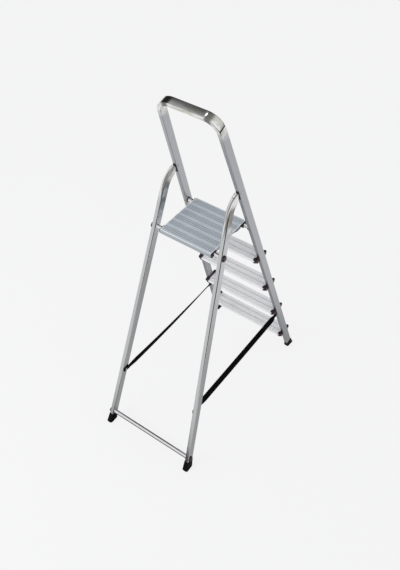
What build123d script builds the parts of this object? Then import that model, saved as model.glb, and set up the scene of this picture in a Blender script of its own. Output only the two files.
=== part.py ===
# Step ladder with a standing platform, in aluminium tube, with four treads, a bent handrail,
# hinged rear legs and a platform that lifts on the front rod as the ladder folds.
#
# The climber stands on the -Y side and faces +Y. The origin is on the floor, in the middle of
# the open ladder's footprint. Everything on the +X side is made first and mirrored to -X.
from build123d import *
from math import asin, atan2, cos, degrees, hypot, radians, sin, tan
import os

os.makedirs("parts", exist_ok=True)

# ---------------------------------------------------------------- driving dimensions, mm and degrees
first_rise = 144  # from the floor to the top of the lowest tread
rise = 239  # from one tread to the next, and to the deck
tread_count = 4

frame_lean = 18.66  # of the front frame, back from upright
frame_cant = 3.28  # of each stile, in towards the middle
frame_foot_x = 234.7  # the middle of a stile at floor level
frame_foot_y = -474
bow_above = 641  # the middle of the handrail above the deck, measured up the leaning frame
bow_bend = 60
stile_wide = 38
stile_thick = 18
stile_round = 3
tube_wall = 1.5

pivot_above = 239  # the leg pivots above the deck, measured up the leaning frame
pivot_back = 6.6  # and behind the middle of the stile
pivot_radius = 4
leg_foot_x = 237.4
leg_foot_y = 474.3
leg_wide = 38
leg_thick = 20
leg_round = 4
leg_bend = 90  # radius of the forward bend at the top of a leg
leg_turn = 50  # how far that bend turns
leg_tail = 29.6  # straight length from the bend to the pivot
leg_short = 27  # the leg tube ends this far before the pivot
leg_slant = 22  # of its cut end, open at the top

rod_radius = 10
rod_wall = 1.5
rod_gap = 1  # between the deck's underside and the two rods below it
rod_back = 6.5  # of the front rod, behind the middle of the stile
leg_rod_back = 4  # of the rear rod and the crossbar, behind the middle of the leg
collar_wall = 3  # of the collars round the front rod, at the stiles
rod_cap_radius = 14.5
rod_cap_thick = 7
rod_cap_hold = 3  # how far a rod reaches into its cap
rod_cap_gap = 1  # between the crossbar's caps and the rear feet

deck_width = 260
deck_before = 14.6  # from the front rod's middle to the front lip
deck_behind = 21.5  # from the rear rod's middle to the rear apron
deck_plate = 2.3  # of the deck between its ribs
deck_rib = 1.2  # height of the ribs on the deck
deck_skirt = 20.5  # depth of the rear apron
deck_nose = 20  # depth of the front lip
deck_front_strip = 9.5  # smooth strip along the front edge
deck_rear_strip = 14  # and along the rear edge
deck_end_strip = 3  # and along each end
deck_round = 1.6  # of its top edges
deck_wall = 2
band_count = 5  # broad raised bands, between groups of narrower ribs
band_width = 18
rib_per_group = 2
rib_width = 6
tooth_pitch = 11  # the ribs are cut across into teeth
tooth_gap = 3

side_inset = 6  # of a side plate from the end of the deck
side_thick = 2
side_deep = 27  # of a side plate at its two ends
side_shallow = 13  # and at the top of its arch
block_width = 12
block_out = 5  # how far a block reaches out past the deck's end
hook_wall = 4  # in front of the rear rod
hook_lip = 7  # how far the hook's rear lip reaches below the rod's middle
hook_mouth = 4.5  # and how far above it the rod's way out is cut

tread_deep = 80
tread_high = 20
tread_round = 5
tread_wall = 1.6
tread_rib = 0.8
tread_rib_width = 1.8
tread_channel_deep = 0.9
tread_ribs = (4, 6, 4)  # in the groups from front to rear, with a channel between groups
channel_ribs = 2  # each channel takes the room of this many ribs
cap_plate = 2.5  # between a tread's end and the stile
cap_rim = 2.4
cap_grip = 2  # how far the cap's rim covers the tread's front and rear faces
cap_lip = 4  # and its top and underside
cap_claw = 9  # how far its claws reach, one over each corner of the tread
claw_long = 14  # of a claw, along the tread's top or underside
claw_gap = 13  # between the upper and the lower claw
cap_ear = 9  # how far its ears reach past the stile's inner face
ear_taper = 9  # how much narrower an ear is at the bottom
ear_round = 3
cap_plug = 10

foot_wall = 2.2
foot_flare = 3  # how much further a boot reaches out at the floor than at its top
front_foot_high = 29
rear_foot_high = 44
sole_thick = 8
groove_width = 2.4
groove_deep = 1.6

tongue_thick = 10
tongue_radius = 11
slot_up = 14.5  # from the pivot to the top of the slot
slot_down = 27
liner_lip = 1.2
liner_over = 3.6  # how far the liner reaches past each end of the slot
rivet_head = 5.5
rivet_high = 2.4
dome = 0.8  # the share of a rivet's or a cap's height that is rounded over

strap_tread = 3  # the straps lie below this tread, counted from the deck
strap_drop = 58  # and this far below its top
strap_width = 25
strap_thick = 1.5
strap_end = 14  # the webbing runs on past each stud
strap_steps = 60  # sections that its twist is made in
# How the webbing turns about its run: pairs of a share of the way and its angle, 90 upright.
strap_turns = {
    "left": ((0.035, -90), (0.07, -35), (0.14, -25), (0.88, -15), (0.96, -90)),
    "right": ((0.035, 90), (0.07, 64), (0.16, 66), (0.32, 77), (0.90, 94), (0.97, 90)),
}
stud_radius = 3
stud_washer = 8
stud_gap = 3.2  # from the frame's inner face to the strap
stud_head = 2

fit = 0.05  # radial clearance of a running fit, and of a rod in its hole
slack = 0.2  # round a plug, a boot or a rim in the same body
free = 0.4  # between faces that pass each other
seat = 0.35  # between the hook and the rear rod

# ---------------------------------------------------------------- where things are
deck_height = first_rise + tread_count * rise
deck_floor = deck_height - deck_rib
deck_under = deck_floor - deck_plate
rod_height = deck_under - rod_gap - rod_radius
crossbar_height = rear_foot_high + rod_cap_gap + rod_cap_radius
strap_height = deck_height - strap_tread * rise - strap_drop

lean = radians(frame_lean)
cant = radians(frame_cant)
turn = radians(leg_turn)

# The leaning plane of the front frame: X across, Y up the frame, Z out of its front.
frame_plane = Plane(
    origin=(0, frame_foot_y, 0), x_dir=(1, 0, 0), z_dir=(0, -cos(lean), sin(lean))
)
frame_rear = Vector(0, cos(lean), -sin(lean))
stile_axis = Vector(-sin(cant), cos(cant) * sin(lean), cos(cant) * cos(lean))
stile_out = Vector(cos(cant), sin(cant) * sin(lean), sin(cant) * cos(lean))


def on_stile(along, back=0):
    """A point on the middle of the +X stile, or behind it."""
    return frame_plane.from_local_coords((frame_foot_x - along * tan(cant), along, -back))


def along_at(height):
    """How far up the frame the middle of a stile passes a height."""
    return height / cos(lean)


bow_along = along_at(deck_height) + bow_above
pivot_along = along_at(deck_height) + pivot_above
pivot = on_stile(pivot_along, pivot_back)

# A leg runs straight up from its foot, bends forward and ends at the pivot.
pivot_offset = (leg_tail + leg_bend * tan(turn / 2)) * sin(turn)
reach_y = leg_foot_y - pivot.Y
leg_lean = atan2(reach_y, pivot.Z) - asin(pivot_offset / hypot(reach_y, pivot.Z))
leg_rise = reach_y * sin(leg_lean) + pivot.Z * cos(leg_lean)
leg_inward = leg_foot_x - pivot.X
leg_length = hypot(leg_rise, leg_inward)
leg_cant = atan2(leg_inward, leg_rise)
leg_forward = Vector(0, -cos(leg_lean), -sin(leg_lean))
leg_axis = Vector(
    -sin(leg_cant), -sin(leg_lean) * cos(leg_cant), cos(leg_lean) * cos(leg_cant)
)
leg_out = leg_axis.cross(leg_forward)
leg_foot = Vector(leg_foot_x, leg_foot_y, 0)
leg_plane = Plane(origin=leg_foot, x_dir=leg_forward, z_dir=leg_forward.cross(leg_axis))
tail_tilt = leg_lean + turn
tail_back = Vector(0, sin(tail_tilt), -cos(tail_tilt))


def on_leg(height, back=0):
    """The middle of the +X leg at a height, on its straight part, or level behind it."""
    return leg_foot + leg_axis * (height / leg_axis.Z) + Vector(0, back, 0)


rod_front_y = on_stile(along_at(rod_height)).Y + rod_back
rod_rear_y = on_leg(rod_height, leg_rod_back).Y
deck_front = rod_front_y - deck_before
deck_rear = rod_rear_y + deck_behind
crossbar_y = on_leg(crossbar_height, leg_rod_back).Y
front_rod_half = on_stile(along_at(rod_height)).X
strap_front = on_stile(along_at(strap_height))
strap_rear = on_leg(strap_height)
stile_face = stile_thick / 2 / cos(cant)
leg_face = leg_thick / 2 / leg_out.X
side_x = deck_width / 2 - side_inset


def keep(piece, name):
    """Labels a finished piece and writes its file."""
    piece.part.label = name
    export_step(piece.part, f"parts/{name}.step")


def keep_pair(piece, name):
    """Writes the +X piece as the right one and its mirror image as the left one."""
    keep(piece, f"{name}_right")
    with BuildPart() as other:
        mirror(piece.part, about=Plane.YZ)
    keep(other, f"{name}_left")


def keep_both(piece, name):
    """Writes the +X piece and its mirror image as one group of separate solids."""
    with BuildPart() as group:
        add(piece.part)
        mirror(piece.part, about=Plane.YZ)
    keep(group, name)


# ---------------------------------------------------------------- shapes that cut others to fit
# The sharp-cornered outline of the +X stile and of the +X leg's straight part.
with BuildPart() as stile_block:
    with BuildSketch(Plane(origin=on_stile(0), x_dir=stile_out, z_dir=stile_axis)):
        Rectangle(stile_thick, stile_wide)
    extrude(amount=bow_along - bow_bend)

with BuildPart() as leg_block:
    with BuildSketch(Plane(origin=leg_foot, x_dir=leg_out, z_dir=leg_axis)):
        Rectangle(leg_thick, leg_wide)
    extrude(amount=leg_length - pivot_offset - leg_bend)

# ---------------------------------------------------------------- front frame: one bent tube
with BuildPart() as frame_tube:
    with BuildLine(frame_plane) as bow:
        foot_half = frame_foot_x
        top_half = frame_foot_x - bow_along * tan(cant)
        FilletPolyline(
            (-foot_half, 0),
            (-top_half, bow_along),
            (top_half, bow_along),
            (foot_half, 0),
            radius=bow_bend,
        )
    with BuildSketch(Plane(origin=bow.line @ 0, x_dir=frame_rear, z_dir=bow.line % 0)):
        RectangleRounded(stile_wide, stile_thick, stile_round)
        RectangleRounded(
            stile_wide - 2 * tube_wall,
            stile_thick - 2 * tube_wall,
            stile_round - tube_wall,
            mode=Mode.SUBTRACT,
        )
    sweep(path=bow.line)
    split(bisect_by=Plane.XY.offset(sole_thick), keep=Keep.TOP)
    # Holes in the inner walls for the front rod and the strap studs.
    with BuildSketch(Plane.YZ):
        with Locations((rod_front_y, rod_height)):
            Circle(rod_radius + fit)
    extrude(amount=front_rod_half, both=True, mode=Mode.SUBTRACT)
    with BuildSketch(Plane.YZ):
        with Locations((strap_front.Y, strap_height)):
            Circle(stud_radius + fit)
    extrude(amount=strap_front.X, both=True, mode=Mode.SUBTRACT)
    # The pivot holes, and the slots in the rear walls that the leg tongues swing in.
    with BuildSketch(Plane.YZ):
        with Locations((pivot.Y, pivot.Z)):
            Circle(pivot_radius + fit)
    extrude(amount=pivot.X + stile_thick, both=True, mode=Mode.SUBTRACT)
    slot_plane = Plane(origin=(0, pivot.Y, pivot.Z), x_dir=(1, 0, 0), z_dir=frame_rear)
    slot_width = tongue_thick + 2 * free
    neck_width = slot_width + 2 * liner_lip
    slot_middle = (slot_down - slot_up) / 2
    slot_length = slot_down + slot_up
    with BuildSketch(slot_plane):
        with Locations((-pivot.X, slot_middle), (pivot.X, slot_middle)):
            Rectangle(neck_width, slot_length + 2 * liner_lip)
    extrude(amount=stile_wide, mode=Mode.SUBTRACT)
keep(frame_tube, "front_frame_tube")

# ---------------------------------------------------------------- slot liners and pivot rivets
liner_length = slot_length + 2 * liner_over
liner_low = pivot_along - slot_down - liner_over
with BuildPart() as liner:
    # The block inside the tube, the neck through its rear wall, and the lip outside it.
    with BuildSketch(Plane(origin=on_stile(liner_low), x_dir=stile_out, z_dir=stile_axis)):
        RectangleRounded(
            stile_thick - 2 * (tube_wall + slack),
            stile_wide - 2 * (tube_wall + slack),
            stile_round - tube_wall - slack,
        )
    extrude(amount=liner_length)
    neck_plane = Plane(origin=pivot, x_dir=(1, 0, 0), z_dir=frame_rear)
    rear_face = stile_wide / 2 - pivot_back
    with BuildSketch(neck_plane):
        with Locations((0, slot_middle)):
            Rectangle(neck_width - 2 * slack, slot_length + 2 * liner_lip - 2 * slack)
    extrude(amount=rear_face + liner_lip)
    with BuildSketch(neck_plane.offset(rear_face)):
        with Locations((0, slot_middle)):
            RectangleRounded(stile_thick - 2 * slack, liner_length, stile_round)
    extrude(amount=liner_lip)
    # The slot that the tongue swings in.
    with BuildSketch(neck_plane.offset(-tongue_radius - 2 * free)):
        with Locations((0, slot_middle)):
            Rectangle(slot_width, slot_length)
    extrude(amount=stile_wide, mode=Mode.SUBTRACT)
    with BuildSketch(Plane.YZ):
        with Locations((pivot.Y, pivot.Z)):
            Circle(pivot_radius + fit)
    extrude(amount=pivot.X + stile_thick, mode=Mode.SUBTRACT)
keep_pair(liner, "slot_liner")

with BuildPart() as rivet:
    with BuildSketch(Plane.YZ.offset(pivot.X - stile_face)):
        with Locations((pivot.Y, pivot.Z)):
            Circle(pivot_radius)
    extrude(amount=2 * stile_face)
    outer_face = Plane(origin=pivot + stile_out * stile_thick / 2, z_dir=stile_out)
    inner_face = Plane(origin=pivot - stile_out * stile_thick / 2, z_dir=-stile_out)
    with BuildSketch(outer_face, inner_face):
        Circle(rivet_head)
    extrude(amount=rivet_high)
    rims = rivet.edges().filter_by(GeomType.CIRCLE).sort_by(Axis.X)
    fillet([rims[0], rims[-1]], radius=rivet_high * dome)
keep_both(rivet, "pivot_rivets")

# ---------------------------------------------------------------- front rod and its collars
with BuildPart() as front_rod:
    with BuildSketch(Plane.YZ):
        with Locations((rod_front_y, rod_height)):
            Circle(rod_radius)
            Circle(rod_radius - rod_wall, mode=Mode.SUBTRACT)
    extrude(amount=front_rod_half - slack, both=True)
keep(front_rod, "front_rod")

with BuildPart() as collar:
    with BuildSketch(Plane.YZ.offset(front_rod_half - stile_face - 2 * liner_lip)):
        with Locations((rod_front_y, rod_height)):
            Circle(rod_radius + collar_wall)
    extrude(amount=stile_thick)
    add(stile_block.part, mode=Mode.SUBTRACT)
    with BuildSketch(Plane.YZ):
        with Locations((rod_front_y, rod_height)):
            Circle(rod_radius + fit)
    extrude(amount=front_rod_half + stile_thick, mode=Mode.SUBTRACT)
keep_both(collar, "front_rod_collars")

# ---------------------------------------------------------------- treads and their end caps
for level in range(1, tread_count + 1):
    top = deck_height - level * rise
    middle_z = top - tread_high / 2
    middle = on_stile(along_at(middle_z))
    tread_y = middle.Y
    tread_half = middle.X - stile_face - cap_plate

    with BuildPart() as tread:
        with BuildSketch(Plane.YZ):
            with Locations((tread_y, middle_z)):
                RectangleRounded(tread_deep, tread_high, tread_round)
                RectangleRounded(
                    tread_deep - 2 * tread_wall,
                    tread_high - 2 * tread_wall,
                    tread_round - tread_wall,
                    mode=Mode.SUBTRACT,
                )
        extrude(amount=tread_half, both=True)
        # Fine ribs in groups, with a shallow channel between one group and the next.
        rib_half = tread_half - cap_claw - slack
        rib_room = sum(tread_ribs) + channel_ribs * (len(tread_ribs) - 1)
        rib_pitch = (tread_deep - 2 * tread_round) / rib_room
        channel_width = (channel_ribs + 1) * rib_pitch - tread_rib_width
        slot_y = tread_y - (tread_deep - rib_pitch) / 2 + tread_round
        rib_places = []
        channel_places = []
        for count in tread_ribs:
            rib_places += [(slot_y + rib * rib_pitch, top) for rib in range(count)]
            slot_y += count * rib_pitch
            channel_places.append((slot_y + (channel_ribs - 1) / 2 * rib_pitch, top))
            slot_y += channel_ribs * rib_pitch
        with BuildSketch(Plane.YZ):
            with Locations(rib_places):
                Rectangle(tread_rib_width, 2 * tread_rib)
        extrude(amount=rib_half, both=True)
        with BuildSketch(Plane.YZ):
            with Locations(channel_places[:-1]):
                Rectangle(channel_width, 2 * tread_channel_deep)
        extrude(amount=rib_half, both=True, mode=Mode.SUBTRACT)

    keep(tread, f"tread_{level}")

    cap_half = tread_deep / 2 + cap_rim
    cap_top = top + cap_rim
    cap_low = top - tread_high - cap_rim
    with BuildPart() as tread_cap:
        # The end plate, with a claw over each corner of the tread and a thin rim between.
        with BuildSketch(Plane.YZ.offset(tread_half - cap_claw)):
            with Locations((tread_y, middle_z)):
                RectangleRounded(2 * cap_half, cap_top - cap_low, tread_round + cap_rim)
        extrude(amount=cap_claw + cap_plate)
        with BuildSketch(Plane.YZ.offset(tread_half - cap_claw)):
            with Locations((tread_y, middle_z)):
                Rectangle(tread_deep - 2 * claw_long, 2 * tread_high)
        extrude(amount=cap_claw - cap_lip, mode=Mode.SUBTRACT)
        with BuildSketch(Plane.YZ.offset(tread_half - cap_claw)):
            with Locations((tread_y, middle_z)):
                Rectangle(2 * tread_deep, claw_gap)
        extrude(amount=cap_claw - cap_grip, mode=Mode.SUBTRACT)
        # The two ears, before and behind the stile.
        for side in (-1, 1):
            ear_y = tread_y + side * cap_half
            with BuildSketch(Plane.YZ.offset(tread_half)):
                with BuildLine():
                    Polyline(
                        (tread_y, cap_top),
                        (ear_y, cap_top),
                        (ear_y, middle_z),
                        (ear_y - side * ear_taper, cap_low),
                        (tread_y, cap_low),
                        close=True,
                    )
                make_face()
            extrude(amount=cap_plate + cap_ear)
        fillet(tread_cap.faces().sort_by(Axis.X)[-1].edges(), radius=ear_round)
        add(stile_block.part, mode=Mode.SUBTRACT)
        # The pocket that the tread's end sits in, and the plug inside the tread.
        with BuildSketch(Plane.YZ.offset(tread_half - cap_claw)):
            with Locations((tread_y, middle_z)):
                RectangleRounded(
                    tread_deep + 2 * slack, tread_high + 2 * slack, tread_round + slack
                )
        extrude(amount=cap_claw, mode=Mode.SUBTRACT)
        with BuildSketch(Plane.YZ.offset(tread_half - cap_plug)):
            with Locations((tread_y, middle_z)):
                RectangleRounded(
                    tread_deep - 2 * (tread_wall + slack),
                    tread_high - 2 * (tread_wall + slack + tread_rib),
                    tread_round - tread_wall,
                )
        extrude(amount=cap_plug)
    keep_pair(tread_cap, f"tread_cap_{level}")

# ---------------------------------------------------------------- feet
with BuildPart() as front_socket:
    with BuildSketch(Plane(origin=on_stile(0), x_dir=stile_out, z_dir=stile_axis)):
        RectangleRounded(
            stile_thick + 2 * slack, stile_wide + 2 * slack, stile_round + slack
        )
    extrude(amount=2 * front_foot_high)
    split(bisect_by=Plane.XY.offset(sole_thick), keep=Keep.TOP)

with BuildPart() as front_foot:
    low_plane = Plane(origin=on_stile(0), x_dir=stile_out, z_dir=stile_axis)
    low_wall = foot_wall + 2 * foot_flare
    with BuildSketch(low_plane.offset(-front_foot_high)):
        RectangleRounded(
            stile_thick + 2 * low_wall, stile_wide + 2 * low_wall, stile_round + low_wall
        )
    flare_angle = degrees(atan2(foot_flare, front_foot_high))
    extrude(amount=2 * front_foot_high, taper=flare_angle)
    split(bisect_by=Plane.XY, keep=Keep.TOP)
    add(front_socket.part, mode=Mode.SUBTRACT)
    with BuildSketch(Plane.XY):
        with Locations((frame_foot_x, frame_foot_y)):
            with GridLocations(0, stile_wide / 4, 1, 4):
                Rectangle(2 * stile_thick, groove_width)
    extrude(amount=groove_deep, mode=Mode.SUBTRACT)
keep_pair(front_foot, "front_foot")

with BuildPart() as rear_socket:
    with BuildSketch(Plane(origin=leg_foot, x_dir=leg_out, z_dir=leg_axis)):
        RectangleRounded(leg_thick + 2 * slack, leg_wide + 2 * slack, leg_round + slack)
    extrude(amount=2 * rear_foot_high)
    split(bisect_by=Plane.XY.offset(sole_thick), keep=Keep.TOP)

with BuildPart() as rear_foot:
    low_plane = Plane(origin=leg_foot, x_dir=leg_out, z_dir=leg_axis)
    with BuildSketch(low_plane.offset(-rear_foot_high)):
        RectangleRounded(
            leg_thick + 2 * low_wall, leg_wide + 2 * low_wall, leg_round + low_wall
        )
    flare_angle = degrees(atan2(foot_flare, rear_foot_high))
    extrude(amount=2 * rear_foot_high, taper=flare_angle)
    split(bisect_by=Plane.XY, keep=Keep.TOP)
    add(rear_socket.part, mode=Mode.SUBTRACT)
    with BuildSketch(Plane.XY):
        with Locations((leg_foot_x, leg_foot_y)):
            with GridLocations(0, leg_wide / 4, 1, 4):
                Rectangle(2 * leg_thick, groove_width)
    extrude(amount=groove_deep, mode=Mode.SUBTRACT)
keep_pair(rear_foot, "rear_foot")

# ---------------------------------------------------------------- rear legs
tail_stop = leg_short - leg_wide / 2 * tan(radians(leg_slant))
end_tilt = tail_tilt + radians(leg_slant)
end_plane = Plane(
    origin=pivot + tail_back * leg_short, z_dir=(0, -sin(end_tilt), cos(end_tilt))
)
with BuildPart() as leg:
    with BuildLine(leg_plane) as leg_run:
        FilletPolyline(
            (0, 0),
            (0, leg_length - pivot_offset / tan(turn)),
            (pivot_offset - tail_stop * sin(turn), leg_length - tail_stop * cos(turn)),
            radius=leg_bend,
        )
    with BuildSketch(
        Plane(origin=leg_run.line @ 0, x_dir=leg_forward, z_dir=leg_run.line % 0)
    ):
        RectangleRounded(leg_wide, leg_thick, leg_round)
        RectangleRounded(
            leg_wide - 2 * tube_wall,
            leg_thick - 2 * tube_wall,
            leg_round - tube_wall,
            mode=Mode.SUBTRACT,
        )
    sweep(path=leg_run.line)
    split(bisect_by=Plane.XY.offset(sole_thick), keep=Keep.TOP)
    split(bisect_by=end_plane, keep=Keep.BOTTOM)
    with BuildSketch(Plane.YZ):
        with Locations((rod_rear_y, rod_height), (crossbar_y, crossbar_height)):
            Circle(rod_radius + fit)
    extrude(amount=leg_foot_x + leg_thick, mode=Mode.SUBTRACT)
    with BuildSketch(Plane.YZ):
        with Locations((strap_rear.Y, strap_height)):
            Circle(stud_radius + fit)
    extrude(amount=strap_rear.X, mode=Mode.SUBTRACT)
keep_pair(leg, "rear_leg")

with BuildPart() as tongue:
    tail_plane = Plane(origin=leg_run.line @ 1, x_dir=leg_out, z_dir=-(leg_run.line % 1))
    with BuildSketch(tail_plane):
        RectangleRounded(
            leg_thick - 2 * (tube_wall + slack),
            leg_wide - 2 * (tube_wall + slack),
            leg_round - tube_wall,
        )
    extrude(amount=leg_tail - tail_stop - slack)
    split(bisect_by=end_plane, keep=Keep.BOTTOM)
    with BuildSketch(Plane(origin=pivot, x_dir=tail_back, z_dir=(1, 0, 0))):
        Circle(tongue_radius)
        with Locations((leg_short * 2 / 3, 0)):
            Rectangle(leg_short * 4 / 3, 2 * tongue_radius)
    extrude(amount=tongue_thick / 2, both=True)
    with BuildSketch(Plane.YZ):
        with Locations((pivot.Y, pivot.Z)):
            Circle(pivot_radius + fit)
    extrude(amount=pivot.X + stile_thick, mode=Mode.SUBTRACT)
keep_pair(tongue, "leg_tongue")

# ---------------------------------------------------------------- rods between the legs, and their caps
for name, rod_y, rod_z in (
    ("rear_rod", rod_rear_y, rod_height),
    ("crossbar", crossbar_y, crossbar_height),
):
    face_x = on_leg(rod_z).X + leg_face - leg_rod_back * leg_out.Y / leg_out.X
    with BuildPart() as rod:
        with BuildSketch(Plane.YZ):
            with Locations((rod_y, rod_z)):
                Circle(rod_radius)
                Circle(rod_radius - rod_wall, mode=Mode.SUBTRACT)
        extrude(amount=face_x + rod_cap_hold, both=True)
    keep(rod, name)

    with BuildPart() as rod_cap:
        with BuildSketch(Plane(origin=(face_x, rod_y, rod_z), z_dir=leg_out)):
            Circle(rod_cap_radius)
        extrude(amount=rod_cap_thick)
        fillet(rod_cap.edges().sort_by(Axis.X)[-1], radius=rod_cap_thick * dome)
        with BuildSketch(Plane.YZ):
            with Locations((rod_y, rod_z)):
                Circle(rod_radius + fit)
        extrude(amount=face_x + rod_cap_hold, mode=Mode.SUBTRACT)
    keep_pair(rod_cap, f"{name}_cap")

# ---------------------------------------------------------------- platform deck
with BuildPart() as deck:
    deck_deep = deck_rear - deck_front
    group_space = deck_deep - deck_front_strip - deck_rear_strip - band_count * band_width
    group_width = group_space / (band_count + 1)
    groove = (group_width - rib_per_group * rib_width) / (rib_per_group + 1)
    with BuildSketch(Plane.YZ):
        with Locations((deck_front, deck_floor)):
            Rectangle(deck_deep, deck_plate, align=(Align.MIN, Align.MAX))
        # Smooth strips along the edges, the front lip and the rear apron.
        with Locations((deck_front, deck_height)):
            Rectangle(deck_front_strip, deck_rib + deck_plate, align=(Align.MIN, Align.MAX))
            Rectangle(deck_wall, deck_nose, align=(Align.MIN, Align.MAX))
        with Locations((deck_rear, deck_height)):
            Rectangle(deck_rear_strip, deck_rib + deck_plate, align=(Align.MAX, Align.MAX))
            Rectangle(deck_wall, deck_skirt, align=(Align.MAX, Align.MAX))
        rib_places = []
        for group in range(band_count + 1):
            start = deck_front + deck_front_strip + group * (group_width + band_width)
            for rib in range(rib_per_group):
                rib_places.append(start + groove + rib_width / 2 + rib * (rib_width + groove))
            if group < band_count:
                with Locations((start + group_width, deck_height)):
                    Rectangle(band_width, 2 * deck_rib, align=(Align.MIN, Align.MAX))
    extrude(amount=deck_width / 2, both=True)
    # The narrower ribs between the bands, each a row of teeth, and a strip along each end.
    teeth = int((deck_width - 2 * deck_end_strip) / tooth_pitch)
    tooth_places = [(tooth - (teeth - 1) / 2) * tooth_pitch for tooth in range(teeth)]
    with BuildSketch(Plane.XY.offset(deck_floor)):
        with Locations([(tooth_x, rib_y) for tooth_x in tooth_places for rib_y in rib_places]):
            Rectangle(tooth_pitch - tooth_gap, rib_width)
        with Locations((0, (deck_front + deck_rear) / 2)):
            with GridLocations(deck_width - deck_end_strip, 0, 2, 1):
                Rectangle(deck_end_strip, deck_deep)
    extrude(amount=deck_rib)
    fillet(deck.faces().sort_by(Axis.Y)[-1].edges().sort_by(Axis.Z)[-1], radius=deck_round)
    fillet(deck.faces().sort_by(Axis.Y)[0].edges().sort_by(Axis.Z)[-1], radius=deck_round)
keep(deck, "platform_deck")

# ---------------------------------------------------------------- side plates under the deck
# Each fills the length between its blocks, deep at both ends, with an arch between.
block_half = deck_before - deck_wall - free
hook_front = rod_rear_y - rod_radius - hook_wall
hook_rear = deck_rear - deck_wall
plate_front = rod_front_y + block_half
plate_rear = hook_front
plate_low = deck_under - side_deep
with BuildPart() as side_plate:
    with BuildSketch(Plane.YZ.offset(side_x - side_thick)):
        with BuildLine():
            l1 = Polyline(
                (plate_front + side_deep, plate_low),
                (plate_front, plate_low),
                (plate_front, deck_under),
                (plate_rear, deck_under),
                (plate_rear - side_shallow, plate_low),
                (plate_rear - 2 * side_deep, plate_low),
            )
            arch_middle = ((plate_front + plate_rear) / 2, deck_under - side_shallow)
            ThreePointArc(l1 @ 1, arch_middle, l1 @ 0)
        make_face()
    extrude(amount=side_thick)
keep_pair(side_plate, "side_plate")

# ---------------------------------------------------------------- bearing blocks and rear hooks
block_inner = side_x - side_thick - block_width
block_plane = Plane.YZ.offset(block_inner)
block_length = deck_width / 2 + block_out - block_inner
with BuildPart() as bearing:
    with BuildSketch(block_plane):
        with Locations((rod_front_y, deck_under)):
            Rectangle(
                2 * block_half,
                deck_under - rod_height + block_half,
                align=(Align.CENTER, Align.MAX),
            )
        with Locations((rod_front_y, rod_height)):
            Circle(rod_radius + fit, mode=Mode.SUBTRACT)
    extrude(amount=block_length)
    fillet(bearing.edges().filter_by(Axis.X).group_by(Axis.Z)[0], radius=block_half / 2)
keep_pair(bearing, "bearing_block")

with BuildPart() as hook:
    with BuildSketch(block_plane):
        with Locations((hook_front, deck_under)):
            Rectangle(
                hook_rear - hook_front,
                deck_under - rod_height + hook_lip,
                align=(Align.MIN, Align.MAX),
            )
        with Locations((rod_rear_y, rod_height)):
            Circle(rod_radius + seat, mode=Mode.SUBTRACT)
        # Open below and in front, so that the rod leaves forward and down.
        with Locations((rod_rear_y, rod_height)):
            Rectangle(
                4 * rod_radius, 2 * rod_radius, align=(Align.MAX, Align.MAX), mode=Mode.SUBTRACT
            )
        with Locations((hook_front, rod_height)):
            Rectangle(
                rod_radius, hook_mouth, align=(Align.MIN, Align.MIN), mode=Mode.SUBTRACT
            )
    extrude(amount=block_length)
keep_pair(hook, "rear_hook")

plate_rivet_z = deck_under - side_shallow / 2
with BuildPart() as plate_rivets:
    with BuildSketch(Plane.YZ.offset(side_x)):
        with Locations(
            (plate_front + side_shallow / 2, plate_rivet_z),
            ((plate_front + plate_rear) / 2, plate_rivet_z),
            (plate_rear - side_shallow / 2, plate_rivet_z),
        ):
            Circle(stud_radius)
    extrude(amount=stud_head)
keep_both(plate_rivets, "plate_rivets")

# ---------------------------------------------------------------- straps and their studs
front_strap_x = strap_front.X - stile_face - stud_gap
rear_strap_x = strap_rear.X - leg_face - stud_gap
strap_from = Vector(front_strap_x, strap_front.Y, strap_height)
strap_run = Vector(rear_strap_x, strap_rear.Y, strap_height) - strap_from
strap_more = strap_end / strap_run.length


def strap_twist(share, turns):
    """The webbing's angle a share of the way along, upright before the first pair."""
    angle = turns[0][1]
    for (before, first), (after, last) in zip(turns, turns[1:]):
        done = min(max((share - before) / (after - before), 0), 1)
        angle += (last - first) * done
    return angle


for side, sign in (("left", -1), ("right", 1)):
    with BuildPart() as strap:
        for step in range(strap_steps + 1):
            share = -strap_more + (1 + 2 * strap_more) * step / strap_steps
            place = strap_from + strap_run * share
            along = Vector(sign * strap_run.X, strap_run.Y, 0)
            section = Plane(
                origin=(sign * place.X, place.Y, place.Z),
                x_dir=along.cross(Vector(0, 0, 1)),
                z_dir=along,
            )
            with BuildSketch(section):
                twist = strap_twist(share, strap_turns[side])
                Rectangle(strap_width, strap_thick, rotation=twist)
        loft(ruled=True)
        with BuildSketch(Plane.YZ):
            with Locations((strap_front.Y, strap_height), (strap_rear.Y, strap_height)):
                Circle(stud_radius + slack)
        extrude(amount=strap_rear.X, both=True, mode=Mode.SUBTRACT)
    keep(strap, f"strap_{side}")

for name, strap_x, stud_y, face, block in (
    ("front", front_strap_x, strap_front.Y, strap_front.X - stile_face, stile_block),
    ("rear", rear_strap_x, strap_rear.Y, strap_rear.X - leg_face, leg_block),
):
    with BuildPart() as stud:
        with BuildSketch(Plane.YZ.offset(strap_x + strap_thick / 2 + slack)):
            with Locations((stud_y, strap_height)):
                Circle(stud_washer)
        extrude(amount=2 * stud_gap)
        add(block.part, mode=Mode.SUBTRACT)
        with BuildSketch(Plane.YZ.offset(strap_x - strap_thick / 2 - slack)):
            with Locations((stud_y, strap_height)):
                Circle(stud_radius)
        extrude(amount=face - strap_x + 3 * tube_wall)
        with BuildSketch(Plane.YZ.offset(strap_x - strap_thick / 2 - slack)):
            with Locations((stud_y, strap_height)):
                Circle(2 * stud_radius)
        extrude(amount=-stud_head)
    keep_both(stud, f"strap_studs_{name}")
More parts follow.
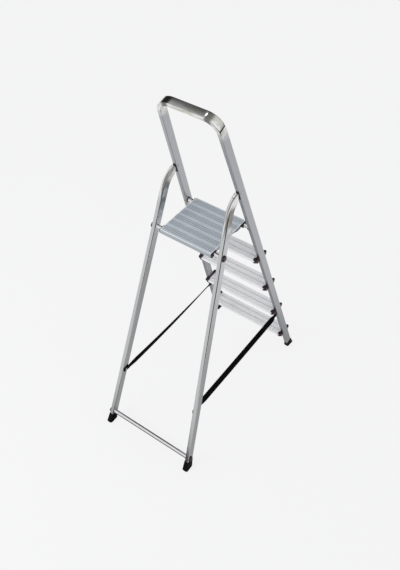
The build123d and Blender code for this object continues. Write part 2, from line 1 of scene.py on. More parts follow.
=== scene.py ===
# %% [markdown]
# # Dressing a step ladder in Blender
# The ladder's tubes, treads and hinges are already made as solids, at their real size. This
# lesson loads them as a fixed frame, gives each metal, plastic and rubber surface a finish of
# its own, and models the two webbing straps, which a plain solid can't show. Lengths are in
# metres, and the climber faces +Y.

# %% The frame
import bpy
import bmesh
from math import cos, pi, radians, sin
from mathutils import Matrix, Vector


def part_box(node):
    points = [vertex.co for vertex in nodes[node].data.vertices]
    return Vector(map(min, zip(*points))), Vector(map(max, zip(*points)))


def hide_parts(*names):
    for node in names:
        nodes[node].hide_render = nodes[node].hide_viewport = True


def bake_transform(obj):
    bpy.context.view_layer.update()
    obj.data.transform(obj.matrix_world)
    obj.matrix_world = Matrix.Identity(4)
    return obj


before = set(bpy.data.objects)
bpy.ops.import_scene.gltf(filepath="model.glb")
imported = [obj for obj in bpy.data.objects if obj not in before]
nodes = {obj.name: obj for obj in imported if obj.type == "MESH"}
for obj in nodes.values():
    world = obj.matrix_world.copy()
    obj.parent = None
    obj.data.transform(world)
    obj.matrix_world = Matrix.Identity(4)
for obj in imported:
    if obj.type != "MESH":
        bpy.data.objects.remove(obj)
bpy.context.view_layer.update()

mm = 0.001

# %% [markdown]
# ## The camera
# The ladder is looked down on from behind and to its left, from well above the handrail. The
# camera stands near, so the legs draw together towards the floor. It is made first, because
# every other choice is judged through it.

# %% The camera
target = Vector((-0.0158, 0.0580, 0.7804))
azimuth = radians(215.94)
elevation = radians(46.16)
distance = 3.2185
roll = radians(-0.28)
away = Vector((sin(azimuth) * cos(elevation), -cos(azimuth) * cos(elevation), sin(elevation)))
camera_data = bpy.data.cameras.new("camera")
camera_data.sensor_fit = "HORIZONTAL"
camera_data.angle = radians(31.18)
camera_data.clip_end = 60
camera = bpy.data.objects.new("camera", camera_data)
bpy.context.collection.objects.link(camera)
turned = away.to_track_quat("Z", "Y").to_matrix().to_4x4()
stand = Matrix.Translation(target + away * distance)
camera.matrix_world = stand @ turned @ Matrix.Rotation(roll, 4, "Z")
bpy.context.scene.camera = camera
print("Camera at", [round(c, 3) for c in camera.location])

# %% [markdown]
# ## Helpers for shader maths
# A finish is a sum of small patterns, so it reads best as a sum. Wire wraps one output of a
# node and overloads Python's operators, so that writing `1 - mask` adds the Math node.

# %% Wire
class Wire:
    """One output of a shader node, which Python's operators can work on."""

    def __init__(self, graph, socket):
        self.graph = graph
        self.socket = socket

    def maths(self, operation, *others, clamp=False):
        return self.graph.maths(operation, self, *others, clamp=clamp)

    def __add__(self, other):
        return self.maths("ADD", other)

    def __radd__(self, other):
        return self.maths("ADD", other)

    def __sub__(self, other):
        return self.maths("SUBTRACT", other)

    def __rsub__(self, other):
        return self.graph.maths("SUBTRACT", other, self)

    def __mul__(self, other):
        return self.maths("MULTIPLY", other)

    def __rmul__(self, other):
        return self.maths("MULTIPLY", other)

    def __truediv__(self, other):
        return self.maths("DIVIDE", other)

    def size(self):
        return self.maths("ABSOLUTE")

    def wave(self, pitch):
        """A sine of 0 to 1 that repeats at each pitch."""
        return (self * (2 * pi / pitch)).maths("SINE") * 0.5 + 0.5

    def step(self, low, high):
        """0 at low, 1 at high, held beyond both and smooth between. High may be the smaller."""
        share = self.maths("SUBTRACT", low).maths("DIVIDE", high - low, clamp=True)
        return share * share * (3 - 2 * share)


# %% [markdown]
# Graph wraps a node tree. Its method `add` makes any node, settings first and inputs after, and
# the other methods are short names for the kinds of node that come up again and again.

# %% Graph
class Graph:
    """A node tree of a material or of the world."""

    def __init__(self, tree):
        self.tree = tree
        tree.nodes.clear()

    def plug(self, slot, value):
        if isinstance(value, Wire):
            self.tree.links.new(value.socket, slot)
        elif slot.type == "RGBA":
            slot.default_value = (*value[:3], 1)
        else:
            slot.default_value = value

    def add(self, kind, settings=None, inputs=None, output=0):
        node = self.tree.nodes.new(kind)
        for name, value in (settings or {}).items():
            setattr(node, name, value)
        for name, value in (inputs or {}).items():
            self.plug(node.inputs[name], value)
        return Wire(self, node.outputs[output])

    def maths(self, operation, *values, clamp=False):
        settings = {"operation": operation, "use_clamp": clamp}
        return self.add("ShaderNodeMath", settings, dict(enumerate(values)))

    def split(self, vector):
        node = self.tree.nodes.new("ShaderNodeSeparateXYZ")
        self.plug(node.inputs[0], vector)
        return [Wire(self, output) for output in node.outputs]

    def join(self, x, y, z):
        return self.add("ShaderNodeCombineXYZ", {}, {0: x, 1: y, 2: z})

    def along(self, vector, direction):
        """How far a vector reaches along a direction."""
        settings = {"operation": "DOT_PRODUCT"}
        return self.add("ShaderNodeVectorMath", settings, {0: vector, 1: direction}, "Value")

    def noise(self, vector, scale, detail=3, rough=0.5):
        inputs = {"Vector": vector, "Scale": scale, "Detail": detail, "Roughness": rough}
        return self.add("ShaderNodeTexNoise", {}, inputs)

    def mix(self, share, first, second):
        """A colour, first where the share is 0 and second where it is 1."""
        settings = {"data_type": "RGBA"}
        return self.add("ShaderNodeMix", settings, {0: share, 6: first, 7: second}, 2)

    def blend(self, share, first, second):
        """A shader, first where the share is 0 and second where it is 1."""
        return self.add("ShaderNodeMixShader", {}, {0: share, 1: first, 2: second})

    def ray(self, kind):
        return self.add("ShaderNodeLightPath", output=f"Is {kind} Ray")

    def show(self, shader, kind="Material"):
        """Ends the tree with its output, of kind Material or World."""
        output = self.tree.nodes.new(f"ShaderNodeOutput{kind}")
        self.plug(output.inputs["Surface"], shader)


# %% [markdown]
# ## The studio
# Bright metal has no colour of its own. What it shows is the room, so the room is built before
# the finishes: a pale floor, a sky that is pale behind the ladder and dark in front of it, and
# two lamps. The camera sees one even pale tone. Polished tube sees the dark side too, and that
# contrast is what tells the eye that it is metal.

# %% The sky
pale = 0.885
lit_side, dark_side = 0.86, 0.07
behind = Vector((-0.30, 0.95, 0))  # towards the lit side
turn_from, turn_to = -0.45, -0.08  # from dark to lit, in front of the ladder
fill_color, fill_strength = (0.83, 0.84, 0.86), 0.85

world = bpy.data.worlds.new("studio_sky")
world.use_nodes = True
bpy.context.scene.world = world
sky = Graph(world.node_tree)
back = sky.along(sky.add("ShaderNodeTexCoord", output="Generated"), behind)
room = sky.mix(back.step(turn_from, turn_to), [dark_side] * 3, [lit_side] * 3)
reflected = sky.add("ShaderNodeBackground", {}, {"Color": room, "Strength": 1.0})
fill = sky.add("ShaderNodeBackground", {}, {"Color": fill_color, "Strength": fill_strength})
seen = sky.add("ShaderNodeBackground", {}, {"Color": [pale] * 3, "Strength": 1.0})
lit = sky.blend(sky.ray("Glossy"), fill, reflected)
sky.show(sky.blend(sky.ray("Camera"), lit, seen), "World")
print("Sky nodes:", len(sky.tree.nodes))

# %% [markdown]
# The floor shows its pale colour to the camera, with a little of the real shading kept so that
# the ladder's soft shadow stays. In reflections it has painted shade: darker close to the
# ladder, as a floor is in the shade of what stands on it, with a very dark painted shadow just
# behind the crossbar, so that the polished bar shows two dark lines, and darkest far out,
# behind and to the left.

# %% The floor
floor_size = 40
floor_color, floor_pale = 0.82, 0.95
shade_kept = 0.15
near_level, far_level = 0.42, 0.78
near_reach, far_reach = 0.45, 1.15
bar_shade = 0.85
bar_shadow_behind = 0.10  # the middle of the painted shadow, from the crossbar
bar_shadow_deep, bar_shadow_wide = (0.15, 0.09), (0.30, 0.20)  # where the painted shadow ends and is full
far_dark_turn = Vector((-0.75, 0.66))  # across the edge of the far dark part, behind and to the left
far_dark_edge, far_dark_fade = 1.52, 0.13
far_dark_side = (0.7, 0.1)  # to the right of this the floor doesn't darken far out
far_dark_level = 0.05

bpy.ops.object.select_all(action="DESELECT")
bpy.ops.mesh.primitive_plane_add(size=floor_size)
floor = bpy.context.object
floor.name = "studio_floor"

paper = bpy.data.materials.new("studio_paper")
paper.use_nodes = True
graph = Graph(paper.node_tree)
x, y, _ = graph.split(graph.add("ShaderNodeTexCoord", output="Object"))
reach = graph.maths("SQRT", x * x + y * y)
level = near_level + (far_level - near_level) * reach.step(near_reach, far_reach)
across_edge = x * far_dark_turn.x + y * far_dark_turn.y
# Far out, behind and to the left, the floor's reflections are darkest.
beyond = across_edge.step(far_dark_edge - far_dark_fade, far_dark_edge + far_dark_fade)
level = level + (far_dark_level - level) * beyond * x.step(*far_dark_side)
bar_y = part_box("crossbar")[0][1]
# a painted shadow in the floor's reflections, just behind the crossbar
bar_shadow = (y - bar_y - bar_shadow_behind).size().step(*bar_shadow_deep) * x.size().step(*bar_shadow_wide)
level = level * (1 - bar_shade * bar_shadow)
matt = graph.add("ShaderNodeBsdfDiffuse", {}, {"Color": [floor_color] * 3})
seen = graph.add("ShaderNodeEmission", {}, {"Color": [floor_pale] * 3, "Strength": 1.0})
mirrored = graph.add("ShaderNodeEmission", {}, {"Color": [1] * 3, "Strength": level})
lit = graph.blend(graph.ray("Glossy"), matt, mirrored)
graph.show(graph.blend(graph.ray("Camera") * (1 - shade_kept), lit, seen))
floor.data.materials.append(paper)
print("Floor:", floor_size, "m wide")

# %% [markdown]
# The window lamp gives the shading. It isn't mirrored, because the lit side of the sky already
# stands for the window in what the metal shows. The rail lamp is small and weak and is there to
# be mirrored: it makes the glint on the top of the handrail.

# %% The lamps
lamp_aim = Vector((0, 0, 0.8))  # the middle of the ladder


def lamp(name, place, size, power, mirrored):
    data = bpy.data.lights.new(name, "AREA")
    data.shape = "RECTANGLE"
    data.size, data.size_y = size
    data.energy = power
    light = bpy.data.objects.new(name, data)
    bpy.context.collection.objects.link(light)
    light.visible_glossy = mirrored
    light.location = place
    light.rotation_euler = (lamp_aim - Vector(place)).to_track_quat("-Z", "Y").to_euler()
    print(name, power, "W")


lamp("window_lamp", (1.6, 3.0, 2.9), size=(1.6, 1.4), power=45, mirrored=False)
lamp("rail_lamp", (0.67, -0.37, 4.05), size=(0.14, 0.14), power=0.5, mirrored=True)
bpy.context.scene.view_settings.view_transform = "Standard"

# %% [markdown]
# ## A finish
# Every finish here starts from one Principled shader. Finish adds two habits to Graph: the
# place on the object, which the patterns read, and a bump whose depth is given in metres. Dress
# then puts a material on CAD nodes in place of their plain one.

# %% Finish and dress
class Finish(Graph):
    """A material with a Principled shader."""

    sockets = {
        "color": "Base Color",
        "rough": "Roughness",
        "metal": "Metallic",
        "normal": "Normal",
        "gloss": "Specular IOR Level",
    }

    def __init__(self, name):
        self.material = bpy.data.materials.new(name)
        self.material.use_nodes = True
        super().__init__(self.material.node_tree)
        self.place = self.add("ShaderNodeTexCoord", output="Object")

    def bump(self, height, depth):
        """Bumps of a depth in metres where the height is 1."""
        return self.add("ShaderNodeBump", {}, {"Height": height, "Distance": depth})

    def finish(self, **inputs):
        values = {self.sockets[name]: value for name, value in inputs.items()}
        self.show(self.add("ShaderNodeBsdfPrincipled", {}, values))
        return self.material


def shade(color, level):
    """A colour made lighter or darker."""
    return [min(c * level, 1) for c in color]


def dress(material, *names):
    """Gives CAD nodes a finish in place of their plain one."""
    for name in names:
        mesh = nodes[name].data
        mesh.materials.clear()
        mesh.materials.append(material)
    print(material.name, "on", len(names), "nodes")


def named(*starts):
    """The CAD nodes whose names start with one of these words."""
    return [name for name in sorted(nodes) if name.startswith(starts)]


# %% [markdown]
# ## Satin tube
# The frame and the legs are drawn aluminium tube. Drawing leaves fine lines along the run, so
# their direction is worked out from what the tube joins: a stile runs past the ends of the
# treads, and a leg from its crossbar to the rear rod. Both sides lean inward alike, so the
# pattern reads the size of X.

# %% The runs of the tubes
def run_between(low, high):
    """The direction from one crosspiece's +X end to that of another higher up."""
    ends = []
    for name in (low, high):
        first, last = (Vector(corner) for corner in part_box(name))
        ends.append(Vector((last.x, (first.y + last.y) / 2, (first.z + last.z) / 2)))
    return (ends[1] - ends[0]).normalized()


stile_run = run_between("tread_4", "tread_1")
leg_run = run_between("crossbar", "rear_rod")
print("Stile run:", [round(c, 3) for c in stile_run], "leg run:", [round(c, 3) for c in leg_run])


# %% [markdown]
# The tube is polished where it was bent, so the handrail and the tops of the legs shine above a
# height of their own. Polish is never even: rubbed patches, dull and bright, run along the tube.
# The handrail has a painted dark reflection on each side, where its bends begin. Its top is
# crowned, which means that its middle stands a little proud and rounds off what it mirrors.

# %% Drawn tube
# The second colour is that of a painted dark reflection on the handrail.
worn_bright, painted_dark_reflection_color = (0.94, 0.94, 0.94), (0.13, 0.13, 0.12)
line_height, dent_height, tube_bump = 0.014, 0.4, 0.5 * mm


def drawn_tube(name, color, rough, run, polish, rubbing, dull, painted_dark_reflection_places=None, crown=None):
    """Polish is a pair of heights, and crown a point in the middle and half the tube's width."""
    surface = Finish(name)
    x, y, z = surface.split(surface.place)
    folded = surface.join(x.size(), y, z)
    side = run.cross(Vector((1, 0, 0))).normalized()
    sideways, facing = surface.along(folded, side), surface.along(folded, run.cross(side))
    lengthways = surface.along(folded, run)
    lines = surface.noise(surface.join(sideways, facing, lengthways * 0.004), 1600, 2)
    streaks = surface.noise(surface.join(sideways, facing, lengthways * 0.03), 160, 2)
    scuffs = surface.noise(surface.place, 30, 4, 0.7).step(0.60, 0.74)
    tint = surface.mix(lines * 0.45 + streaks * 0.55, shade(color, 0.93), shade(color, 1.06))
    tint = surface.mix(scuffs * 0.25, tint, shade(color, 0.86))

    rubs = surface.noise(surface.join(x * rubbing[0], y * rubbing[1], z * rubbing[2]), 100, 2)
    rubbed = surface.mix(rubs.step(0.36, 0.64), dull, worn_bright)
    # A painted dark reflection on each side of the handrail, where its bends begin.
    if painted_dark_reflection_places:
        begin, full_from, full_to, end = painted_dark_reflection_places
        painted_dark_reflection = x.size().step(begin, full_from) * x.size().step(end, full_to)
        rubbed = surface.mix(painted_dark_reflection * 0.9, rubbed, painted_dark_reflection_color)
    swell = 1
    if crown:
        middle, half_wide = crown
        off_middle = (surface.along(surface.place, side) - middle.dot(side)) / half_wide
        swell = 1 - off_middle * off_middle

    polished = z.step(*polish)
    satin_rough = rough + 0.07 * lines + 0.05 * streaks + 0.06 * scuffs
    polished_rough = 0.07 + 0.05 * streaks
    satin_height = lines * line_height
    polished_height = surface.noise(surface.place, 12, 1) * dent_height + swell
    height = satin_height * (1 - polished) + polished_height * polished
    return surface.finish(
        color=surface.mix(polished, tint, rubbed),
        rough=satin_rough + (polished_rough - satin_rough) * polished,
        metal=1,
        normal=surface.bump(height, tube_bump),
    )


# %% [markdown]
# The crown needs the middle of the handrail's width. It is found from the far top corner of the
# tube's box, half a tube's width back along the lean of the frame.

# %% The frame and the legs
tube_half = 19 * mm
rail_corner = Vector(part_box("front_frame_tube")[1])
rail_middle = rail_corner - tube_half * Vector((0, stile_run.z, stile_run.y))
frame_tube = drawn_tube(
    "frame_aluminium", (0.52, 0.53, 0.555), 0.27, stile_run, polish=(1.61, 1.66),
    rubbing=(0.15, 0.5, 0.5), dull=(0.66, 0.655, 0.60),
    # where the painted dark reflection lies along X
    painted_dark_reflection_places=(0.074, 0.088, 0.100, 0.116), crown=(rail_middle, tube_half),
)
dress(frame_tube, "front_frame_tube")
leg_tube = drawn_tube(
    "leg_aluminium", (0.67, 0.675, 0.69), 0.17, leg_run, polish=(1.14, 1.24),
    rubbing=(1.4, 0.08, 0.08), dull=(0.27, 0.265, 0.25),
)
dress(leg_tube, *named("rear_leg_", "leg_tongue"))

# %% [markdown]
# ## Extruded treads and deck
# The treads and the deck are extruded aluminium planks. Every tread repeats at the same rise,
# so one material can serve all four: a modulo of the height gives each point its depth below
# the top of its own tread.

# %% The rise
tread_names = named("tread_1", "tread_2", "tread_3", "tread_4")
tread_tops = [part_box(name)[1][2] for name in tread_names]
rise = tread_tops[0] - tread_tops[1]
print("Rise:", round(rise, 4))

# %% [markdown]
# The planks have ribs along X. Feet polish the tops of the ribs. The grooves between them are
# darker with painted shade and a little dust, most of all the deep channels between groups of
# ribs. The deck alone also has a painted highlight on its rounded edges, at both ends and at
# the rear.

# %% Extruded planks
groove_depths = (3.2 * mm, 2.4 * mm)  # where grooves end, and are whole
side_depths = (3.5 * mm, 5 * mm)  # where a plank's side begins, and is whole
slack = 0.5 * mm  # so that a top isn't taken for the lowest part of the tread above


def plank(name, color, top, rib, metal, rough, groove_shade, side_shade=1, highlight_rims=None):
    """The highlight places are two pairs of places, where the painted highlight on the rounded
    edges begins and is full: along X and along Y.
    """
    surface = Finish(name)
    x, y, z = surface.split(surface.place)
    below = (top - z + slack).maths("FLOORED_MODULO", rise) - slack
    groove = below.step(0.25 * rib, 0.8 * rib) * below.step(*groove_depths)
    channel = below.step(rib + 0.3 * mm, rib + 0.7 * mm) * groove
    crown = below.step(0.5 * rib, 0.1 * rib)
    lines = surface.noise(surface.join(x * 0.004, y, z), 1700, 2)
    streaks = surface.noise(surface.join(x * 0.03, y, z), 120, 2)
    worn = surface.noise(surface.join(x, y * 0.6, z), 16, 3).step(0.42, 0.62)
    dust = surface.noise(surface.place, 90, 3, 0.65)
    tint = surface.mix(lines * 0.45 + streaks * 0.55, shade(color, 0.95), shade(color, 1.04))
    # painted shade in the grooves, made uneven by dust
    tint = surface.mix(groove * (0.75 + 0.2 * dust), tint, shade(color, groove_shade))
    # more painted shade in the deep channels
    tint = surface.mix(channel * 0.6, tint, shade(color, 0.62))
    tint = surface.mix(below.step(*side_depths), tint, shade(color, side_shade))
    if highlight_rims:
        ends, rear = highlight_rims
        # A painted highlight on the deck's rounded edges, at both ends and at the rear.
        rim_highlight = crown * surface.maths("MAXIMUM", x.size().step(*ends), y.step(*rear))
        tint = surface.mix(rim_highlight, tint, shade(color, 1.7))
        rough = rough - 0.1 * rim_highlight
        metal = metal * (1 - rim_highlight)
    return surface.finish(
        color=surface.mix(crown * worn * 0.5, tint, shade(color, 1.12)),
        rough=rough + 0.06 * lines + 0.1 * groove - 0.08 * crown * worn,
        metal=metal,
        normal=surface.bump(lines, 0.015 * mm),
    )


tread_metal = plank(
    "tread_aluminium", (0.97, 0.975, 0.98), tread_tops[0], rib=0.8 * mm,
    metal=0.05, rough=0.40, groove_shade=0.80,
)
dress(tread_metal, *tread_names)
deck_end, deck_rear, deck_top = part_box("platform_deck")[1]
deck_metal = plank(
    "deck_aluminium", (0.62, 0.675, 0.73), deck_top, rib=1.2 * mm,
    metal=0.15, rough=0.38, groove_shade=0.61, side_shade=0.66,
    # where the painted highlight on the deck's edges begins and is full
    highlight_rims=(
        (deck_end - 4 * mm, deck_end - 3 * mm),
        (deck_rear - 5 * mm, deck_rear - 3.5 * mm),
    ),
)
dress(deck_metal, "platform_deck")


# %% [markdown]
# ## Small metal parts
# The rods are bright drawn tube, the side plates are zinc-plated sheet, and the rivets are
# turned steel. They differ in how wide their reflections spread and in the mark that their
# making left: rings round a rod, spangles on zinc, a fine grain on a rivet's head.

# %% Rods, plates and rivets
def bright_rod(name, color):
    surface = Finish(name)
    x, y, z = surface.split(surface.place)
    rings = surface.noise(surface.join(x, y * 0.05, z * 0.05), 900, 2)
    haze = surface.noise(surface.place, 14, 3)
    tint = surface.mix(haze * 0.6 + rings * 0.4, shade(color, 0.95), shade(color, 1.04))
    return surface.finish(color=tint, rough=0.03 + 0.02 * haze + 0.02 * rings, metal=1)


def zinc_sheet(name, color):
    surface = Finish(name)
    crystals = {"Vector": surface.place, "Scale": 160}
    spangle = surface.add("ShaderNodeTexVoronoi", {}, crystals, "Color")
    grain = surface.noise(surface.place, 900, 2)
    level = surface.along(spangle, (0.33, 0.33, 0.34))
    tint = surface.mix(level * 0.7 + grain * 0.3, shade(color, 0.85), shade(color, 1.12))
    return surface.finish(
        color=tint, rough=0.30 + 0.12 * level, metal=1, normal=surface.bump(grain, 0.01 * mm)
    )


def turned_steel(name, color):
    surface = Finish(name)
    grain = surface.noise(surface.place, 1200, 2)
    haze = surface.noise(surface.place, 60, 3)
    tint = surface.mix(haze, shade(color, 0.88), shade(color, 1.06))
    return surface.finish(
        color=tint, rough=0.20 + 0.12 * haze, metal=1, normal=surface.bump(grain, 0.01 * mm)
    )


dress(bright_rod("polished_rod", (0.80, 0.80, 0.82)), "front_rod", "rear_rod", "crossbar")
dress(zinc_sheet("side_steel", (0.42, 0.43, 0.46)), *named("side_plate"))
rivets = named("strap_studs", "pivot_rivets", "plate_rivets")
dress(turned_steel("stud_steel", (0.68, 0.68, 0.70)), *rivets)


# %% [markdown]
# ## Moulded plastic and rubber
# The tread caps and the rods' end caps are a dark plum plastic with the fine spark texture of
# its mould, rubbed smooth and paler in patches. The feet are a duller rubber that picks up
# floor dust along its lowest edge.

# %% Plastics and rubber
dust_heights = (9 * mm, 1 * mm)  # no dust above the first, most below the second


def moulded(name, color, rough, rubbed):
    surface = Finish(name)
    spark = surface.noise(surface.place, 1500, 3, 0.7)
    flow = surface.noise(surface.place, 45, 3)
    tint = surface.mix(flow, shade(color, 0.82), shade(color, 1.15))
    tint = surface.mix(flow.step(0.55, 0.75) * 0.5, tint, rubbed)
    return surface.finish(
        color=tint,
        rough=rough + 0.10 * spark - 0.06 * flow,
        normal=surface.bump(spark, 0.03 * mm),
    )


def rubber(name, color, dust_color):
    surface = Finish(name)
    _, _, z = surface.split(surface.place)
    spark = surface.noise(surface.place, 1100, 3, 0.7)
    smear = surface.noise(surface.place, 120, 4, 0.65)
    dusty = z.step(*dust_heights) * smear.step(0.40, 0.70)
    tint = surface.mix(smear, shade(color, 0.8), shade(color, 1.2))
    tint = surface.mix(dusty * 0.5, tint, dust_color)
    return surface.finish(
        color=tint,
        rough=0.55 + 0.15 * spark + 0.1 * dusty,
        gloss=0.15,
        normal=surface.bump(spark, 0.04 * mm),
    )


plum = moulded("plum_plastic", (0.030, 0.009, 0.017), 0.36, (0.050, 0.020, 0.032))
dress(plum, *named("tread_cap", "rear_rod_cap", "crossbar_cap"))
black = moulded("black_plastic", (0.011, 0.011, 0.012), 0.40, (0.022, 0.022, 0.023))
dress(black, *named("slot_liner", "bearing_block", "rear_hook", "front_rod_collars"))
foot_rubber = rubber("foot_rubber", (0.003, 0.003, 0.0032), (0.05, 0.048, 0.045))
dress(foot_rubber, *named("front_foot", "rear_foot"))

# %% [markdown]
# ## The straps
# Two webbing straps stop the legs from sliding apart. Each is 25 mm wide, bolted upright to the
# inside of the tubes at both ends, and turned flat between them. A strap could be simulated,
# but pulled tight it has only one shape, so its section is swept along its run in mesh code,
# turning and sagging a little as it goes. The turns are pairs: a share of the way between the
# bolts, and an angle in degrees.

# %% The run of a strap
strap_width, strap_thick = 25 * mm, 1.5 * mm
end_past_bolt = 14 * mm
strap_turns = {
    "left": ((0.035, -90), (0.07, -35), (0.14, -25), (0.88, -15), (0.96, -90)),
    "right": ((0.035, 90), (0.07, 71), (0.16, 72), (0.32, 82), (0.90, 106), (0.97, 90)),
}
strap_sag = {"left": 2 * mm, "right": 11 * mm}
up = Vector((0, 0, 1))


def end_middle(mesh, pick):
    """The middle of the end face of a strap's plain solid, where pick is min or max."""
    places = [vertex.co for vertex in mesh.vertices]
    edge = pick(place.y for place in places)
    face = [place for place in places if abs(place.y - edge) < strap_thick]
    corners = [(min(p[i] for p in face), max(p[i] for p in face)) for i in range(3)]
    return Vector([(low + high) / 2 for low, high in corners])


class StrapRun:
    """The middle line of a strap, with its slight sag and the turn of its webbing."""

    def __init__(self, side):
        mesh = nodes[f"strap_{side}"].data
        front, rear = end_middle(mesh, min), end_middle(mesh, max)
        self.along = (rear - front).normalized()
        self.across = self.along.cross(up)
        self.bolt = front + self.along * end_past_bolt
        self.length = (rear - front).length - 2 * end_past_bolt
        self.turns = strap_turns[side]
        self.sag = strap_sag[side]

    def angle(self, distance):
        share = distance / self.length
        degrees = self.turns[0][1]
        for (before, first), (after, last) in zip(self.turns, self.turns[1:]):
            done = min(max((share - before) / (after - before), 0), 1)
            degrees += (last - first) * done
        return radians(degrees)

    def place(self, distance, sideways=0, lift=0):
        """A point past the front bolt, off to one side of the webbing and lifted off its face."""
        angle = self.angle(distance)
        share = min(max(distance / self.length, 0), 1)
        hang = up * (self.sag * 4 * share * (1 - share))  # the whole sag is at the middle
        width = self.across * cos(angle) - up * sin(angle)
        face = width.cross(self.along)
        return self.bolt + self.along * distance - hang + width * sideways + face * lift


strap_runs = {side: StrapRun(side) for side in ("left", "right")}
for side, run in strap_runs.items():
    print("Strap", side, "is", round(run.length, 3), "m between its bolts")

# %% [markdown]
# Webbing is woven from thick threads, so at arm's length it looks ribbed. Two waves make the
# weave: one across the strap and one along it, whose phase moves by half from thread to thread.
# The strap is black, so the weave shows in the bump and hardly in colour. The waves read the
# piece's own UV map, which the mesh code below fills in with metres.

# %% Woven black webbing
def webbing(name, color, warp, weft):
    surface = Finish(name)
    spot = surface.add("ShaderNodeUVMap", {"uv_map": "weave"})
    across, along, _ = surface.split(spot)
    thread = (across / warp).maths("FLOOR")
    offset = thread.maths("FLOORED_MODULO", 2) * (0.5 * weft)
    height = across.wave(warp) * 0.5 + (along + offset).wave(weft) * 0.5
    fuzz = surface.noise(surface.join(across, along, 0), 2500, 3, 0.7)
    fade = surface.noise(surface.place, 25, 3)
    tint = surface.mix(height * 0.6 + fuzz * 0.4, shade(color, 0.6), shade(color, 1.5))
    tint = surface.mix(fade.step(0.5, 0.8) * 0.4, tint, shade(color, 2.2))
    return surface.finish(
        color=tint,
        rough=0.82 + 0.12 * fuzz,
        gloss=0.12,
        normal=surface.bump(height * 0.8 + fuzz * 0.2, 0.25 * mm),
    )


webbing_black = webbing("webbing_black", (0.0018, 0.0018, 0.002), 1.6 * mm, 1.3 * mm)
thread_black = webbing("thread_black", (0.005, 0.005, 0.0055), 0.3 * mm, 0.5 * mm)

# %% [markdown]
# The section is a flat loop with round edges: half a circle at each edge, with a few points on
# the flat between. Mesh code builds a shape in a bmesh, which then becomes an object.

# %% The section, and an object
def band_outline(width, thick):
    """The outline of webbing, as pairs of a place across it and a height."""
    flat, round_edge = (width - thick) / 2, thick / 2
    outline = []
    for side in (1, -1):
        for index in range(5):
            angle = side * pi / 2 - pi * index / 4
            outline.append((side * flat + round_edge * cos(angle), round_edge * sin(angle)))
        for share in (0.5, 0, -0.5):
            outline.append((side * share * flat, -side * round_edge))
    return outline


def as_object(name, work, material):
    """A smooth object from a bmesh, with its faces turned outwards."""
    bmesh.ops.recalc_face_normals(work, faces=work.faces)
    mesh = bpy.data.meshes.new(name)
    work.to_mesh(mesh)
    work.free()
    mesh.shade_smooth()
    mesh.materials.append(material)
    made = bpy.data.objects.new(name, mesh)
    bpy.context.collection.objects.link(made)
    return made


print("Points round the webbing:", len(band_outline(strap_width, strap_thick)))

# %% [markdown]
# The section's rings are joined into a tube with closed ends, and each point gets a UV place in
# real metres: across the webbing, and along it. So the weave follows the twist.

# %% Sweep the section
def swept_band(name, run, start, end, width, lift=0, pace=3.5 * mm):
    """A band of webbing between two distances past the front bolt, lifted off the middle."""
    outline = band_outline(width, strap_thick)
    rings = round((end - start) / pace)
    work = bmesh.new()
    weave = work.loops.layers.uv.new("weave")
    wraps = []
    spots = {}
    for ring in range(rings + 1):
        distance = start + (end - start) * ring / rings
        wrap = [work.verts.new(run.place(distance, a, lift + h)) for a, h in outline]
        spots.update((vertex, (a, distance)) for vertex, (a, _) in zip(wrap, outline))
        wraps.append(wrap)
    for first, second in zip(wraps, wraps[1:]):
        for index in range(len(outline)):
            after = (index + 1) % len(outline)
            work.faces.new((first[index], first[after], second[after], second[index]))
    work.faces.new(wraps[0])
    work.faces.new(wraps[-1])
    for face in work.faces:
        for loop in face.loops:
            loop[weave].uv = spots[loop.vert]
    return as_object(name, work, webbing_black)


# %% [markdown]
# At each bolt the webbing is folded back and sewn down, so there it is two layers thick. Each
# stitch is a small spindle of thread that lies in the hem and stands half its thickness proud.

# %% One stitch
thread_thick = 0.55 * mm
stitch_sides = 5
stitch_shape = ((0.02, 0.35), (0.25, 1), (0.75, 1), (0.98, 0.35))  # way along, and thickness


def add_stitch(work, weave, first, last, face):
    """A spindle of thread between two points, thinner at its ends."""
    along = (last - first).normalized()
    side = along.cross(face)
    turns = [2 * pi * index / stitch_sides for index in range(stitch_sides)]
    rings = []
    for share, swell in stitch_shape:
        middle = first.lerp(last, share)
        reach = swell * thread_thick / 2
        spots = [middle + (side * cos(turn) + face * sin(turn)) * reach for turn in turns]
        rings.append([work.verts.new(spot) for spot in spots])
    faces = [work.faces.new(rings[0]), work.faces.new(rings[-1])]
    for low, high in zip(rings, rings[1:]):
        for index in range(stitch_sides):
            after = (index + 1) % stitch_sides
            faces.append(work.faces.new((low[index], low[after], high[after], high[index])))
    for made in faces:
        for loop in made.loops:
            loop[weave].uv = (loop.vert.co.dot(side), loop.vert.co.dot(along))


# %% [markdown]
# The stitches of a hem make a box with a cross, so there are six seams: four sides and two
# diagonals. Each seam is divided into whole stitches with small gaps between them.

# %% The stitches of a hem
hem_from, hem_length = 8 * mm, 17 * mm
layer = strap_thick + 0.02 * mm
stitch_inset, stitch_pace = 2.5 * mm, 2.8 * mm
gap_share = 0.1  # of a stitch's pace, at each of its ends


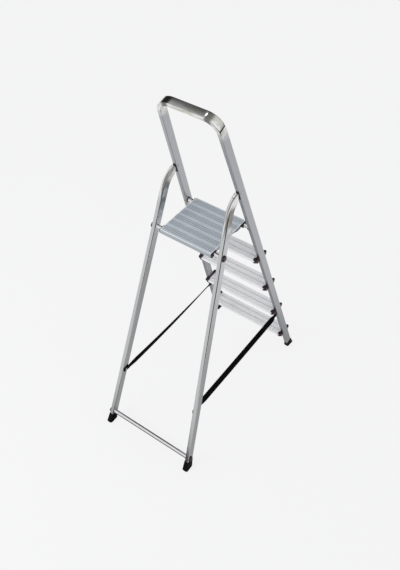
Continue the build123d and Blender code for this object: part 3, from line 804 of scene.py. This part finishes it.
def sew(name, run, start, end, lift):
    """The stitches of one hem, as one mesh."""
    reach = strap_width / 2 - stitch_inset
    near, far = start + stitch_inset, end - stitch_inset
    corners = [(near, -reach), (near, reach), (far, reach), (far, -reach)]
    seams = [(corners[i], corners[(i + 1) % 4]) for i in range(4)]
    seams += [(corners[0], corners[2]), (corners[1], corners[3])]
    height = lift + (layer / 2 if lift > 0 else -layer / 2)
    work = bmesh.new()
    weave = work.loops.layers.uv.new("weave")
    for (d1, s1), (d2, s2) in seams:
        length = ((d2 - d1) ** 2 + (s2 - s1) ** 2) ** 0.5
        count = round(length / stitch_pace)
        for index in range(count):
            ends = []
            for share in ((index + gap_share) / count, (index + 1 - gap_share) / count):
                ends.append((d1 + (d2 - d1) * share, s1 + (s2 - s1) * share))
            first, last = (run.place(d, s, height) for d, s in ends)
            face = (run.place(ends[0][0], ends[0][1], height + layer) - first).normalized()
            add_stitch(work, weave, first, last, face)
    return as_object(name, work, thread_black)


# %% [markdown]
# Both straps are then made alike. The hem lies on the side towards the middle of the ladder,
# which is either face of the webbing, depending on its turn. One end of a strap is bolted to
# the front frame and the other to the rear legs.

# %% Make both straps
hem_width, hem_pace = strap_width - 0.4 * mm, 1 * mm

for side, run in strap_runs.items():
    strap = swept_band(
        f"webbing_{side}", run, -end_past_bolt, run.length + end_past_bolt, strap_width
    )
    sewn = []
    inward = 1 if side == "left" else -1
    for end, start in (("front", hem_from), ("rear", run.length - hem_from - hem_length)):
        stop = start + hem_length
        middle = (start + stop) / 2
        face_x = run.place(middle, 0, 1).x - run.place(middle).x
        lift = layer if face_x * inward > 0 else -layer
        hem = swept_band(f"hem_{side}_{end}", run, start, stop, hem_width, lift, hem_pace)
        stitches = sew(f"stitches_{side}_{end}", run, start, stop, lift)
        sewn += [hem, stitches]
    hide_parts(f"strap_{side}")
    for piece in (strap, *sewn):
        run.place(hem_from + hem_length)
        run.place(run.length - hem_from - hem_length)
        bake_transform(piece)
    print(strap.name, len(strap.data.polygons), "faces,", len(sewn), "sewn pieces")
